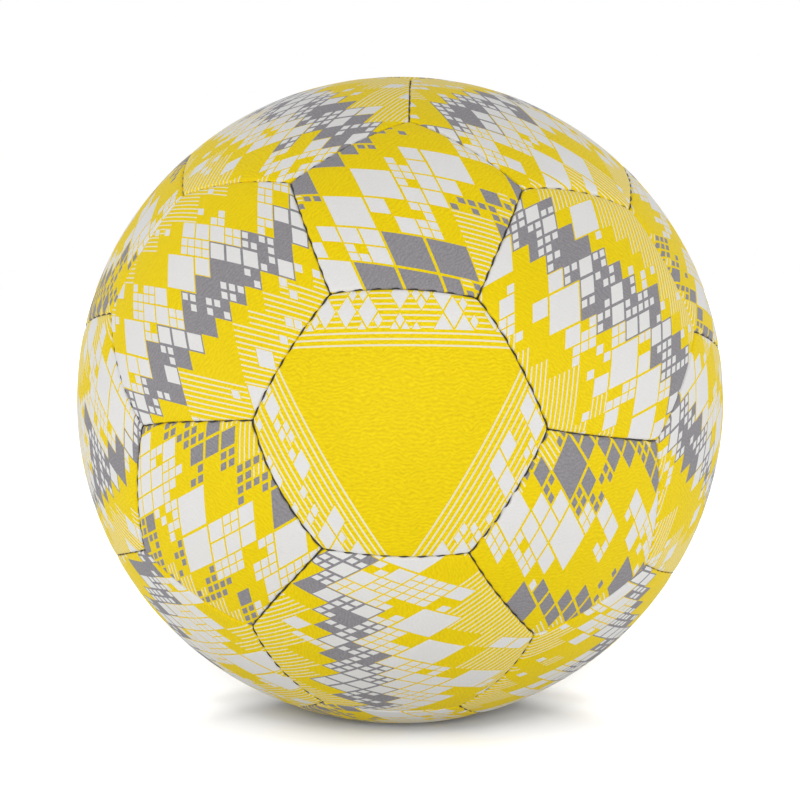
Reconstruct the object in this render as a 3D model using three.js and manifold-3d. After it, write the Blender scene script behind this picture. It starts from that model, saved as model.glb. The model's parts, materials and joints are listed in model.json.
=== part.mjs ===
// A hand-stitched korfball of 32 panels, in millimetres, with +Z up.
// The origin is the centre of the ball. The front hexagon looks along -Y and the valve along +Y.
import * as THREE from 'three';
import { mergeVertices, toCreasedNormals } from 'three/addons/utils/BufferGeometryUtils.js';
import Module from 'manifold-3d';

const wasm = await Module();
wasm.setup();

// Ball
const ballDiameter = 220.6; // 693 round
const ballLean = 1.75; // degrees that the top pentagon leans to +X

// Cover panels: the edge of each turns over a round shoulder and runs down beside its neighbour's
const panelThickness = 2.4;
const shoulderRadius = 2;
const seamAllowance = 3.4; // flat part of the turned-in edge, below the shoulder
const seamHalfGap = 0.15;

// Seam thread
const threadDiameter = 0.7;
const threadClearance = 0.12;
const threadEndGap = 0.3;

// Bladder
const bladderWall = 0.6;
const bladderDipWidth = 11; // from a seam to where the bladder lies along the panel again

// Valve
const stemDiameter = 7.5;
const stemRecess = 0.6; // from the surface of the ball down to the stem's face
const needleGuideDiameter = 1.6;
const needleGuideLength = 1.4;
const coreDiameter = 4;
const coreCollarDiameter = 8;
const coreCollarThickness = 1.2;
const corePassageDiameter = 1;
const baseFlangeDiameter = 24;
const baseFlangeThickness = 2.2;
const patchDiameter = 26;
const patchThickness = 1.2;

// Gap between pieces that touch on the real ball
const fitClearance = 0.3;

// Facets
const panelSegments = 3; // along each side of a panel
const shoulderSegments = 2;
const bladderSegments = 2;
const turnedSegments = 24;

const ballRadius = ballDiameter / 2;
const edgeDepth = shoulderRadius + seamAllowance;
const stemHoleRadius = stemDiameter / 2 + fitClearance;

// The thread sinks into the groove until both shoulders are one clearance away from it
const threadDepth = shoulderRadius - Math.sqrt(
  (shoulderRadius + threadDiameter / 2 + threadClearance) ** 2 - (shoulderRadius + seamHalfGap) ** 2);

const creaseAngle = THREE.MathUtils.degToRad(35);

// Twelve pentagon axes: an icosahedron's corners, turned so that the face between three of them
// looks along -Y with one of the three above the other two
function pentagonAxes() {
  const golden = (1 + Math.sqrt(5)) / 2;
  const axes = [];
  for (const short of [-1, 1]) {
    for (const long of [-golden, golden]) {
      axes.push(
        new THREE.Vector3(0, short, long).normalize(),
        new THREE.Vector3(short, long, 0).normalize(),
        new THREE.Vector3(long, 0, short).normalize(),
      );
    }
  }
  const top = new THREE.Vector3(golden, 0, 1).normalize();
  const back = new THREE.Vector3(golden, 0, 2 * golden + 1).normalize().negate();
  const up = top.clone().projectOnPlane(back).normalize();
  const side = new THREE.Vector3().crossVectors(back, up);
  const turn = new THREE.Matrix4().makeBasis(side, back, up).transpose();
  const lean = new THREE.Matrix4().makeRotationY(THREE.MathUtils.degToRad(ballLean));
  return axes.map((axis) => axis.applyMatrix4(turn).applyMatrix4(lean));
}

const axes = pentagonAxes();

function areNeighbours(one, other) {
  const cosine = one.dot(other);
  return cosine > 0.4 && cosine < 0.9;
}

// A panel corner lies a third of the way from one pentagon's axis to the next one's
function panelCorner(near, far) {
  return near.clone().multiplyScalar(2).add(far).normalize();
}

// A panel is a polygon of directions from the ball's centre. Its corners run anticlockwise seen from
// outside, and wall number i is the seam plane through corners i and i + 1, facing the panel's middle.
function makePanel(corners) {
  const middle = corners.reduce((sum, corner) => sum.add(corner), new THREE.Vector3()).normalize();
  const zero = corners[0].clone().projectOnPlane(middle).normalize();
  const quarter = new THREE.Vector3().crossVectors(middle, zero);
  const angleOf = (corner) => {
    const angle = Math.atan2(corner.dot(quarter), corner.dot(zero));
    return angle < -0.01 ? angle + 2 * Math.PI : angle;
  };
  const ordered = [...corners].sort((one, other) => angleOf(one) - angleOf(other));
  const walls = ordered.map((corner, i) =>
    new THREE.Vector3().crossVectors(corner, ordered[(i + 1) % ordered.length]).normalize());
  return { middle, corners: ordered, walls };
}

function pentagonPanel(axis) {
  return makePanel(axes.filter((other) => areNeighbours(axis, other)).map((other) => panelCorner(axis, other)));
}

function hexagonPanels() {
  const panels = [];
  axes.forEach((a, i) => axes.forEach((b, j) => axes.forEach((c, k) => {
    if (i < j && j < k && areNeighbours(a, b) && areNeighbours(b, c) && areNeighbours(a, c)) {
      panels.push(makePanel([
        panelCorner(a, b), panelCorner(b, a), panelCorner(b, c),
        panelCorner(c, b), panelCorner(c, a), panelCorner(a, c),
      ]));
    }
  })));
  return panels;
}

// Panels are counted from the front of the ball to the back, and clockwise from the top in each row
function frontToBack(panels) {
  const row = (panel) => Math.round(panel.middle.y * 100);
  const clock = (panel) => (Math.atan2(panel.middle.x, panel.middle.z) + 2 * Math.PI + 0.1) % (2 * Math.PI);
  return panels.sort((one, other) => row(one) - row(other) || clock(one) - clock(other));
}

const hexagons = frontToBack(hexagonPanels());
const pentagons = frontToBack(axes.map(pentagonPanel));
const valvePanel = hexagons[hexagons.length - 1];

// The direction along which a distance of 1 from both walls at a corner is reached
function mitre(panel, corner) {
  const wall = panel.walls[corner];
  const before = panel.walls[(corner + panel.walls.length - 1) % panel.walls.length];
  return wall.clone().add(before).divideScalar(1 + wall.dot(before));
}

// A closed ring of points at one radius, moved in from all the panel's seam planes by one inset
function seamRing(panel, inset, radius, segments) {
  const cornerPoints = panel.corners.map((corner, i) => {
    const foot = mitre(panel, i).multiplyScalar(inset);
    return foot.clone().addScaledVector(corner, Math.sqrt(radius ** 2 - foot.lengthSq()));
  });
  return cornerPoints.flatMap((point, i) => {
    const wall = panel.walls[i];
    const pivot = wall.clone().multiplyScalar(inset);
    const start = point.clone().sub(pivot);
    const angle = start.angleTo(cornerPoints[(i + 1) % cornerPoints.length].clone().sub(pivot));
    return Array.from({ length: segments }, (_, step) =>
      start.clone().applyAxisAngle(wall, angle * step / segments).add(pivot));
  });
}

// Triangles with shared points, built ring by ring
class Skin {
  constructor() {
    this.points = [];
    this.triangles = [];
  }

  addPoints(points) {
    const first = this.points.length;
    this.points.push(...points);
    return points.map((_, i) => first + i);
  }

  // Joins two closed rings with as many points each
  addBand(ring, next) {
    ring.forEach((here, i) => {
      const after = (i + 1) % ring.length;
      this.triangles.push([here, next[i], next[after]], [here, next[after], ring[after]]);
    });
  }

  // Fills a ring with ever smaller rings round the panel's middle, down to one point.
  // The place function moves a point onto the surface, and faces look inwards if asked.
  fillRing(ring, panel, segments, place, inwards = false) {
    const sides = panel.corners.length;
    const cornerPoints = panel.corners.map((_, i) => this.points[ring[i * segments]]);
    let outer = ring;
    for (let size = segments - 1; size >= 0; size--) {
      const share = size / segments;
      const points = size === 0 ? [panel.middle.clone()] : cornerPoints.flatMap((point, i) => {
        const nextPoint = cornerPoints[(i + 1) % sides];
        const middle = panel.middle.clone().multiplyScalar(point.length());
        return Array.from({ length: size }, (_, step) =>
          middle.clone().lerp(point.clone().lerp(nextPoint, step / size), share));
      });
      const inner = this.addPoints(points.map(place));
      this.joinRings(outer, inner, sides, size, inwards);
      outer = inner;
    }
  }

  // Joins a ring to the next smaller one, which has one point fewer on each side
  joinRings(outer, inner, sides, size, inwards) {
    const add = (a, b, c) => this.triangles.push(inwards ? [a, c, b] : [a, b, c]);
    for (let side = 0; side < sides; side++) {
      for (let step = 0; step <= size; step++) {
        const here = outer[side * (size + 1) + step];
        const next = outer[(side * (size + 1) + step + 1) % outer.length];
        const within = inner[(side * size + step) % inner.length];
        add(within, here, next);
        if (step < size) add(within, next, inner[(side * size + step + 1) % inner.length]);
      }
    }
  }

  toGeometry() {
    const geometry = new THREE.BufferGeometry();
    geometry.setAttribute('position', new THREE.Float32BufferAttribute(
      this.points.flatMap((point) => point.toArray()), 3));
    geometry.setIndex(this.triangles.flat());
    return geometry;
  }
}

function toSolid(geometry) {
  const plain = geometry.clone();
  plain.deleteAttribute('normal');
  plain.deleteAttribute('uv');
  const merged = mergeVertices(plain);
  return new wasm.Manifold(new wasm.Mesh({
    numProp: 3,
    vertProperties: new Float32Array(merged.attributes.position.array),
    triVerts: new Uint32Array(merged.index.array),
  }));
}

function toGeometry(solid) {
  const mesh = solid.getMesh();
  const geometry = new THREE.BufferGeometry();
  geometry.setAttribute('position', new THREE.Float32BufferAttribute(mesh.vertProperties, 3));
  geometry.setIndex([...mesh.triVerts]);
  return geometry;
}

// How far the middle of a flat facet lies below a sphere, for panels with this many segments a side
function facetSag(radius, segments) {
  const side = radius * axes[0].angleTo(axes.find((axis) => areNeighbours(axes[0], axis))) / 3;
  const facetReach = side / segments / Math.sqrt(3);
  return facetReach ** 2 / (2 * radius) + (side / segments) ** 2 / (8 * radius);
}

function panelGeometry(panel) {
  const section = [];
  for (let step = 0; step <= shoulderSegments; step++) {
    const turn = Math.PI / 2 * step / shoulderSegments;
    section.push({
      inset: seamHalfGap + shoulderRadius * (1 - Math.sin(turn)),
      depth: shoulderRadius * (1 - Math.cos(turn)),
    });
  }
  section.push(
    { inset: seamHalfGap, depth: edgeDepth },
    { inset: seamHalfGap + panelThickness, depth: edgeDepth },
    { inset: seamHalfGap + panelThickness, depth: panelThickness },
  );
  const skin = new Skin();
  const rings = section.map(({ inset, depth }) =>
    skin.addPoints(seamRing(panel, inset, ballRadius - depth, panelSegments)));
  const innerRadius = ballRadius - panelThickness;
  skin.fillRing(rings[0], panel, panelSegments, (point) => point.setLength(ballRadius));
  for (let i = 1; i < rings.length; i++) skin.addBand(rings[i - 1], rings[i]);
  skin.fillRing(rings.at(-1), panel, panelSegments, (point) => point.setLength(innerRadius), true);
  return skin.toGeometry();
}

// A round hole along the valve's axis, right through whatever surrounds it
function stemHole() {
  const length = 4 * edgeDepth;
  const hole = new THREE.CylinderGeometry(stemHoleRadius, stemHoleRadius, length, turnedSegments);
  return toSolid(hole.translate(0, ballRadius, 0));
}

function valvePanelGeometry() {
  return toGeometry(toSolid(panelGeometry(valvePanel)).subtract(stemHole()));
}

// Four corners of the thread's section: outwards, to one side, inwards and to the other side
function threadSection(centre, sideways) {
  const half = threadDiameter / 2;
  const outwards = centre.clone().normalize();
  return [
    centre.clone().addScaledVector(outwards, half),
    centre.clone().addScaledVector(sideways, half),
    centre.clone().addScaledVector(outwards, -half),
    centre.clone().addScaledVector(sideways, -half),
  ];
}

function threadLoop(pentagon) {
  const skin = new Skin();
  const sections = seamRing(pentagon, 0, ballRadius - threadDepth, panelSegments).map((centre, i) => {
    const side = Math.floor(i / panelSegments);
    const sideways = i % panelSegments === 0 ? mitre(pentagon, side) : pentagon.walls[side];
    return skin.addPoints(threadSection(centre, sideways));
  });
  sections.forEach((section, i) => skin.addBand(section, sections[(i + 1) % sections.length]));
  return skin.toGeometry();
}

// Half the seam between two hexagons, from the corner near one pentagon towards the next pentagon
function threadSpur(near, far) {
  const start = panelCorner(near, far);
  const angle = start.angleTo(panelCorner(far, near));
  const sideways = new THREE.Vector3().crossVectors(near, far).normalize();
  const pointAt = (step) => start.clone()
    .applyAxisAngle(sideways, angle * step / panelSegments)
    .setLength(ballRadius - threadDepth);
  const lastWhole = Math.ceil(panelSegments / 2) - 1;
  const centres = Array.from({ length: lastWhole + 1 }, (_, step) => pointAt(step));
  const lastStretch = pointAt(lastWhole + 1).sub(centres[lastWhole]);
  const reach = lastStretch.length() * (panelSegments / 2 - lastWhole) - threadEndGap / 2;
  centres.push(centres[lastWhole].clone().add(lastStretch.setLength(reach)));

  const skin = new Skin();
  const sections = centres.map((centre) => skin.addPoints(threadSection(centre, sideways)));
  for (let i = 1; i < sections.length; i++) skin.addBand(sections[i - 1], sections[i]);
  const [a, b, c, d] = sections[0];
  const [e, f, g, h] = sections.at(-1);
  skin.triangles.push([a, b, c], [a, c, d], [e, g, f], [e, h, g]);
  return skin.toGeometry();
}

// One length of thread: round a pentagon and half way along each seam that leaves its corners
function threadGeometry(pentagon) {
  const near = axes.find((axis) => axis.dot(pentagon.middle) > 0.99);
  let thread = toSolid(threadLoop(pentagon));
  for (const far of axes.filter((axis) => areNeighbours(near, axis))) {
    thread = thread.add(toSolid(threadSpur(near, far)));
  }
  return toGeometry(thread);
}

// Levels along the valve's axis, from the ball's centre. The bladder is flat round the valve, low
// enough for the patch to fit between it and the curved panel.
const panelInnerRadius = ballRadius - panelThickness;
const panelClearRadius = panelInnerRadius - facetSag(panelInnerRadius, panelSegments) - fitClearance;
const seatReach = Math.max(...valvePanel.corners.map((corner) =>
  panelClearRadius * Math.sin(corner.angleTo(valvePanel.middle)))) / bladderSegments;
const levelUnder = (reach) => Math.sqrt(panelClearRadius ** 2 - reach ** 2);
const bladderSeat = Math.min(
  levelUnder(seatReach),
  levelUnder(patchDiameter / 2) - patchThickness - fitClearance,
);
const baseFlangeTop = bladderSeat - bladderWall - fitClearance;
const stemTop = ballRadius - stemRecess;

// One closed skin under all the panels. It dips along every seam to clear the turned-in edges.
function bladderSkin(inwardOffset) {
  const dipTop = ballRadius - panelClearRadius;
  const edgeReach = seamHalfGap + panelThickness;
  const edgeClearDepth = edgeDepth + facetSag(ballRadius - edgeDepth, panelSegments) + fitClearance;
  const share = edgeReach / bladderDipWidth;
  const dipBottom = (edgeClearDepth - dipTop * share) / (1 - share);

  const skin = new Skin();
  for (const panel of [...hexagons, ...pentagons]) {
    const ringAt = (inset, depth) => skin.addPoints(
      seamRing(panel, inset, ballRadius - depth - inwardOffset, bladderSegments));
    const top = ringAt(bladderDipWidth, dipTop);
    const place = panel === valvePanel
      ? (point) => point.multiplyScalar((bladderSeat - inwardOffset) / point.y)
      : (point) => point.setLength(panelClearRadius - inwardOffset);
    skin.fillRing(top, panel, bladderSegments, place);
    skin.addBand(top, ringAt(0, dipBottom));
  }
  return toSolid(skin.toGeometry());
}

function bladderGeometry() {
  return toGeometry(bladderSkin(0).subtract(bladderSkin(bladderWall)).subtract(stemHole()));
}

// A turned piece round the valve's axis, from its section as [radius, height] corners
function turned(corners) {
  const outline = [...corners, corners[0]].map(([radius, height]) => new THREE.Vector2(radius, height));
  return new THREE.LatheGeometry(outline, turnedSegments);
}

// Heights are measured from the stem's face, which is 0
const flangeTopHeight = baseFlangeTop - stemTop;
const flangeBottomHeight = flangeTopHeight - baseFlangeThickness;
const collarPocketHeight = flangeBottomHeight + coreCollarThickness + fitClearance;
const boreTopHeight = -needleGuideLength;

function valveBodyGeometry() {
  const boreRadius = coreDiameter / 2 + fitClearance;
  const pocketRadius = coreCollarDiameter / 2 + fitClearance;
  return turned([
    [needleGuideDiameter / 2, 0],
    [needleGuideDiameter / 2, boreTopHeight],
    [boreRadius, boreTopHeight],
    [boreRadius, collarPocketHeight],
    [pocketRadius, collarPocketHeight],
    [pocketRadius, flangeBottomHeight],
    [baseFlangeDiameter / 2, flangeBottomHeight],
    [baseFlangeDiameter / 2, flangeTopHeight],
    [stemDiameter / 2, flangeTopHeight],
    [stemDiameter / 2, 0],
  ]);
}

function valveCoreGeometry() {
  const collarTop = collarPocketHeight - fitClearance;
  return turned([
    [corePassageDiameter / 2, boreTopHeight - fitClearance],
    [corePassageDiameter / 2, flangeBottomHeight],
    [coreCollarDiameter / 2, flangeBottomHeight],
    [coreCollarDiameter / 2, collarTop],
    [coreDiameter / 2, collarTop],
    [coreDiameter / 2, boreTopHeight - fitClearance],
  ]);
}

function valvePatchGeometry() {
  const bottom = bladderSeat + fitClearance - stemTop;
  return turned([
    [stemHoleRadius, bottom],
    [patchDiameter / 2, bottom],
    [patchDiameter / 2, bottom + patchThickness],
    [stemHoleRadius, bottom + patchThickness],
  ]);
}

const coverLook = { color: 0xf0d71a, roughness: 0.55, metalness: 0 };
const threadLook = { color: 0x34343a, roughness: 0.8, metalness: 0 };
const bladderLook = { color: 0x26262a, roughness: 0.7, metalness: 0 };
const valveLook = { color: 0x161618, roughness: 0.6, metalness: 0 };
const patchLook = { color: 0x3a3532, roughness: 0.85, metalness: 0 };

function piece(name, geometry, look) {
  const mesh = new THREE.Mesh(toCreasedNormals(geometry, creaseAngle), new THREE.MeshStandardMaterial(look));
  mesh.name = name;
  return mesh;
}

function numbered(name, index) {
  return `${name}_${String(index + 1).padStart(2, '0')}`;
}

const cover = new THREE.Group();
cover.add(...hexagons.map((panel, i) => piece(
  numbered('cover_hexagon', i), panel === valvePanel ? valvePanelGeometry() : panelGeometry(panel), coverLook)));
cover.add(...pentagons.map((panel, i) => piece(numbered('cover_pentagon', i), panelGeometry(panel), coverLook)));

const seams = new THREE.Group();
seams.add(...pentagons.map((panel, i) => piece(numbered('seam_thread', i), threadGeometry(panel), threadLook)));

const valve = new THREE.Group();
valve.position.y = stemTop;
valve.add(
  piece('valve_body', valveBodyGeometry(), valveLook),
  piece('valve_core', valveCoreGeometry(), valveLook),
  piece('valve_patch', valvePatchGeometry(), patchLook),
);

const ball = new THREE.Group();
ball.name = 'korfball';
ball.add(cover, seams, piece('bladder', bladderGeometry(), bladderLook), valve);

export default ball;
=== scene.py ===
"""Looks of a hand-stitched korfball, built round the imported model.

Every panel is a fine mesh with rounded, puckered edges and a grained, printed skin. A dark waxed thread
winds along each seam. The print is a plain set of lozenges and stripes in yellow, white and grey.
"""
import json
import math

import bpy
import numpy as np
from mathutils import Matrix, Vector

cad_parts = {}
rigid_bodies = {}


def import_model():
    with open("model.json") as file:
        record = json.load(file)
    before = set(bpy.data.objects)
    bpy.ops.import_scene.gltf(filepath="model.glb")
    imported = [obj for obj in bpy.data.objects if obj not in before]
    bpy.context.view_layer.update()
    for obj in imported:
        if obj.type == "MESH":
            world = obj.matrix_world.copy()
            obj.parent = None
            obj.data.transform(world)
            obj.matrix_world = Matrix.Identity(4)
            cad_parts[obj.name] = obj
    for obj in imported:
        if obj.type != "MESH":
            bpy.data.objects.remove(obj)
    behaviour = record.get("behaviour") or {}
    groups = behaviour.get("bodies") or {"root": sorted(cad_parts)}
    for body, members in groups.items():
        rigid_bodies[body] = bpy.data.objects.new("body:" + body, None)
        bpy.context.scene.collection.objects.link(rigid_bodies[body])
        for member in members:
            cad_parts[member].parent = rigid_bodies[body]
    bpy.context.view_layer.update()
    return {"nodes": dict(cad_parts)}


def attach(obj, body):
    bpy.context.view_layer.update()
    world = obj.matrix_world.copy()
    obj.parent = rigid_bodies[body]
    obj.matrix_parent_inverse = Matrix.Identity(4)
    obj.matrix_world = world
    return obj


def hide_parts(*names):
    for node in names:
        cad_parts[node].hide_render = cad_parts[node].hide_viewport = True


MM = 0.001

# Photograph: where it was taken from
PHOTO_WIDTH = 800  # pixels
BALL_OUTLINE_RADIUS = 323.4  # pixels
CAMERA_DISTANCE = 7.0  # ball radii
CAMERA_ELEVATION = math.radians(4.2)
SENSOR_WIDTH = 36.0

# Panel edges
SEAM_GAP = 0.02 * MM  # from the seam plane to the panel, where the seam is closed
OPEN_GAP = 0.16 * MM  # more than that, where it stands open
SHOULDER_RADIUS = 0.95 * MM
ROLL_OFF_WIDTH = 5.5 * MM
ROLL_OFF_DROP = 0.20 * MM
VALLEY_WIDTH = 4.5 * MM
CORNER_ROUNDING = 1.7 * MM
CORNER_GAP = 0.06 * MM
CORNER_GAP_REACH = 2.0 * MM
ROUNDING_REACH = 4.0 * MM
RIM_WIDTH = 9.0 * MM
RIM_RINGS = 14
RIM_CROWDING = 2.1  # the rings lie closer together towards the seam
WALL_RING_DEPTHS = (2.2 * MM, 3.2 * MM)
HALVED_RING_STEP = 2.2 * MM  # from the rim to the ring with half as many points
BODY_RING_STEP = 3.0 * MM  # from there to the lattice in the middle
SEAM_STEPS = 64  # along each side of a panel, at its rim
BODY_STEPS = 16  # along each side, in the panel's middle

# Stitches
STITCHES_PER_SEAM = 8
PIT_LENGTH = 1.2 * MM
PIT_WIDTH = 1.1 * MM
PIT_OPENING = 0.20 * MM
PIT_DROP = 0.12 * MM
PIT_DEPTH = 1.4 * MM
PIT_FADE = 1.2 * MM  # below that depth
BULGE = 0.10 * MM
PUCKER_REACH = 4.0 * MM
PUCKER_DROP = 0.07 * MM
THREAD_RADIUS = 0.22 * MM
THREAD_TOP = 0.42 * MM  # depth of the thread's middle where a stitch shows
THREAD_SUNK = 0.50 * MM  # more than that where stitches hardly show
THREAD_DIP = 1.30 * MM  # more again between two stitches of a closed seam
OPEN_THREAD_DIP = 0.45 * MM
THREAD_SWAY = 0.24 * MM
THREAD_STRETCH = 0.60 * MM
THREAD_LEAN = 0.10 * MM  # towards the panel with the pits
THREAD_STEPS = 16  # for each stitch
THREAD_SIDES = 9
THREAD_PLIES = 3
PLY_RELIEF = 0.14
PLY_TWIST = 2 * math.pi / (1.9 * MM)

# Seams that the photograph shows: how far each bows at its middle from the first panel into the second,
# in millimetres, how open it stands and how plain its stitches are, both from 0 to 1, and how deep a
# valley it lies in, in millimetres
SEEN_SEAMS = {
    ("hexagon_01", "pentagon_01"): (1.4, 0.10, 0.70, 0.0),
    ("hexagon_01", "hexagon_02"): (0.9, 0.70, 0.80, 0.0),
    ("hexagon_01", "pentagon_02"): (0.7, 0.25, 1.00, 0.0),
    ("hexagon_01", "hexagon_03"): (0.5, 0.10, 0.60, 0.0),
    ("hexagon_01", "pentagon_03"): (1.9, 0.90, 0.80, 0.0),
    ("hexagon_01", "hexagon_04"): (1.0, 0.20, 1.00, 0.0),
    ("pentagon_01", "hexagon_02"): (0.0, 0.45, 0.80, 0.0),
    ("pentagon_01", "hexagon_04"): (0.3, 0.60, 0.60, 0.0),
    ("pentagon_01", "hexagon_05"): (1.0, 0.40, 0.30, 0.3),
    ("pentagon_01", "hexagon_10"): (0.0, 0.10, 0.30, 0.0),
    ("hexagon_05", "hexagon_10"): (0.0, 0.80, 0.40, 0.0),
    ("hexagon_02", "hexagon_05"): (2.0, 0.10, 0.60, 0.6),
    ("hexagon_02", "pentagon_04"): (0.3, 0.00, 0.15, 0.3),
    ("hexagon_02", "hexagon_06"): (0.0, 0.00, 0.10, 0.0),
    ("hexagon_02", "pentagon_02"): (0.2, 0.70, 0.50, 0.0),
    ("pentagon_02", "hexagon_06"): (0.5, 0.00, 0.10, 0.2),
    ("pentagon_02", "hexagon_07"): (1.0, 0.00, 0.10, 0.2),
    ("hexagon_06", "hexagon_07"): (0.0, 0.20, 0.20, 0.0),
    ("pentagon_02", "hexagon_03"): (0.8, 0.60, 0.70, 0.0),
    ("hexagon_03", "hexagon_07"): (2.0, 0.35, 0.70, 0.4),
    ("hexagon_03", "hexagon_08"): (1.6, 0.40, 0.90, 0.0),
    ("hexagon_03", "pentagon_05"): (0.0, 0.00, 0.30, 0.0),
    ("hexagon_03", "pentagon_03"): (0.6, 1.00, 0.60, 0.0),
    ("pentagon_03", "hexagon_08"): (0.8, 0.00, 0.10, 0.0),
    ("pentagon_03", "hexagon_09"): (0.5, 1.00, 0.70, 0.3),
    ("pentagon_03", "hexagon_04"): (0.6, 0.20, 0.70, 0.0),
    ("hexagon_04", "hexagon_09"): (1.6, 0.15, 0.60, 0.4),
    ("hexagon_04", "pentagon_06"): (0.3, 0.00, 0.15, 0.2),
    ("hexagon_04", "hexagon_10"): (0.5, 0.00, 0.15, 0.1),
    ("pentagon_06", "hexagon_10"): (0.0, 0.50, 0.20, 0.0),
}
UNSEEN_BOW = 0.8 * MM
BOW_REACH = 9.0 * MM  # how far into the panels a bow is felt

# Valve
HOLE_RINGS = 8
HOLE_ROUNDING = 0.45 * MM
LEATHER_DEPTH = 0.9 * MM  # down the hole's wall, and cloth below that
TURNED_ROUNDING = 0.28 * MM
TURNED_STEPS = 96
CORNER_POINTS = 5  # on each rounded corner

# Stage
WORLD_LEVEL = 0.55
FRONT_SUNS = {12: 0.37, 21: 0.55, 31: 0.55, 45: 0.37}  # light on the floor, by elevation in degrees
BACK_SUNS = {40: 0.64, 60: 0.64}
FLOOR_ALBEDO = 0.185
FLOOR_SEEN = 0.475  # to the camera, so that all but the shadow is white
FLOOR_REACH = 6.0
SUN_WIDTH = math.radians(14)
LAMPS = {  # for the ball alone: place, width and power
    "front": ((-0.1, -2.0, 0.26), 1.0, 6.75),
    "left": ((-1.7, -0.8, 0.1), 0.7, 5.6),
    "right": ((1.7, -0.8, 0.1), 0.7, 5.3),
}

# Unevenness of handwork
SEAM_WANDER = 0.24 * MM
SURFACE_WAVE = 0.05 * MM
UNSEEN_SEAM_LENGTH = 40 * MM  # over which the unseen seams' bows and stitches change
PIT_SEED, GAP_SEED, SURFACE_SEED, BOW_SEED, OPENING_SEED, STITCHING_SEED = 31, 51, 71, 91, 92, 93


def unit(vectors):
    return vectors / np.linalg.norm(vectors, axis=-1, keepdims=True)


# The frame

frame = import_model()


def node_points(name):
    mesh = frame["nodes"][name].data
    points = np.empty(len(mesh.vertices) * 3)
    mesh.vertices.foreach_get("co", points)
    return points.reshape(-1, 3)


def nodes_called(prefix):
    return sorted(name for name in frame["nodes"] if name.startswith(prefix))


HEXAGONS = nodes_called("cover_hexagon")
PENTAGONS = nodes_called("cover_pentagon")
VALVE_HEXAGON = HEXAGONS[-1]
BALL_RADIUS = max(np.linalg.norm(node_points(name), axis=1).max() for name in HEXAGONS)


def node_axis(name):
    """The direction from the ball's centre to a node's middle."""
    return unit(np.unique(node_points(name).round(7), axis=0).mean(axis=0))


pentagon_axes = {name: node_axis(name) for name in PENTAGONS}


def depth_range(name):
    """The depths below the ball's surface that a node reaches, least and most."""
    radii = np.linalg.norm(node_points(name), axis=1)
    return BALL_RADIUS - radii.max(), BALL_RADIUS - radii.min()


FLANGE_DEPTH = depth_range(HEXAGONS[0])[1]


def neighbours(axis):
    """The five pentagon axes round one of them."""
    return [other for other in pentagon_axes.values() if 0.4 < axis @ other < 0.9]


def seam_corner(near, far):
    """The corner of the panel round one pentagon axis on the way to the next axis."""
    return unit(2 * near + far)


class Panel:
    """A polygon of directions from the ball's centre, with corners anticlockwise seen from outside.

    Wall number i is the seam plane through corners i and i + 1, and faces the panel's middle.
    """

    def __init__(self, name, corners):
        self.name = name
        self.middle = unit(np.sum(corners, axis=0))
        self.right = unit(np.cross([0.0, 0.0, 1.0], self.middle))
        self.up = np.cross(self.middle, self.right)
        angles = [math.atan2(corner @ self.up, corner @ self.right) for corner in corners]
        self.corners = np.array([corners[i] for i in np.argsort(angles)])
        following = np.roll(self.corners, -1, axis=0)
        self.walls = unit(np.cross(self.corners, following))
        before = np.roll(self.walls, 1, axis=0)
        shared = 1 + np.sum(self.walls * before, axis=1, keepdims=True)
        self.mitres = (self.walls + before) / shared
        self.seams = []
        self.side_angle = math.acos(np.clip(self.corners[0] @ self.corners[1], -1, 1))
        self.sides = len(corners)


def make_panels():
    panels = []
    for name, axis in pentagon_axes.items():
        panels.append(Panel(name, [seam_corner(axis, other) for other in neighbours(axis)]))
    for name in HEXAGONS:
        middle = node_axis(name)
        trio = sorted(pentagon_axes.values(), key=lambda axis: -(axis @ middle))[:3]
        corners = [seam_corner(near, far) for near in trio for far in trio if near is not far]
        panels.append(Panel(name, corners))
    return panels


PANELS = make_panels()


# Unevenness, the same for everything at one place

def waves(points, length, seed, count=6):
    """A smooth field of values about -1 to 1, made of plane waves of about one length."""
    random = np.random.default_rng(seed)
    directions = unit(random.normal(size=(count, 3))) * (2 * math.pi / length)
    directions *= random.uniform(0.7, 1.4, (count, 1))
    phases = random.uniform(0, 2 * math.pi, count)
    return np.sin(points @ directions.T + phases).sum(axis=-1) / math.sqrt(count)


# Seams

HEAVY_SIDE = unit(np.array([0.35, -0.45, 0.8]))  # which of two like panels has the pits of their seam


class Seam:
    """One side that two panels share, from a start corner over the seam plane to the other corner."""

    def __init__(self, panel, side, neighbour):
        self.start = panel.corners[side]
        self.wall = panel.walls[side]  # faces the first panel's middle
        self.ahead = np.cross(self.wall, self.start)
        self.angle = panel.side_angle
        if panel.sides == neighbour.sides:
            self.pitted = panel.name if self.wall @ HEAVY_SIDE > 0 else neighbour.name
        else:
            self.pitted = panel.name if panel.sides == 5 else neighbour.name

        names = tuple(end.name.removeprefix("cover_") for end in (panel, neighbour))
        seen = SEEN_SEAMS.get(names) or SEEN_SEAMS.get(names[::-1])
        if seen:
            bow, self.opening, self.stitching, valley = seen
            self.bow = (bow if names in SEEN_SEAMS else -bow) * MM
            self.valley = valley * MM
        else:
            middle = unit(panel.middle + neighbour.middle) * BALL_RADIUS
            bow, opening, stitching = (
                waves(middle, UNSEEN_SEAM_LENGTH, seed) for seed in (BOW_SEED, OPENING_SEED, STITCHING_SEED))
            self.bow = UNSEEN_BOW * bow
            self.opening = min(max(0.35 + 0.35 * opening, 0.0), 1.0)
            self.stitching = min(max(0.60 + 0.30 * stitching, 0.1), 1.0)
            self.valley = 0.0

    def warp(self, places):
        """How far the seam's bow moves points on the ball's surface."""
        across = places @ self.wall
        share = np.arctan2(places @ self.ahead, places @ self.start) / self.angle
        arch = 4 * np.clip(share * (1 - share), 0, None)
        return -self.wall * (self.bow * arch * np.exp(-(across / BOW_REACH) ** 2))[:, None]


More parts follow.
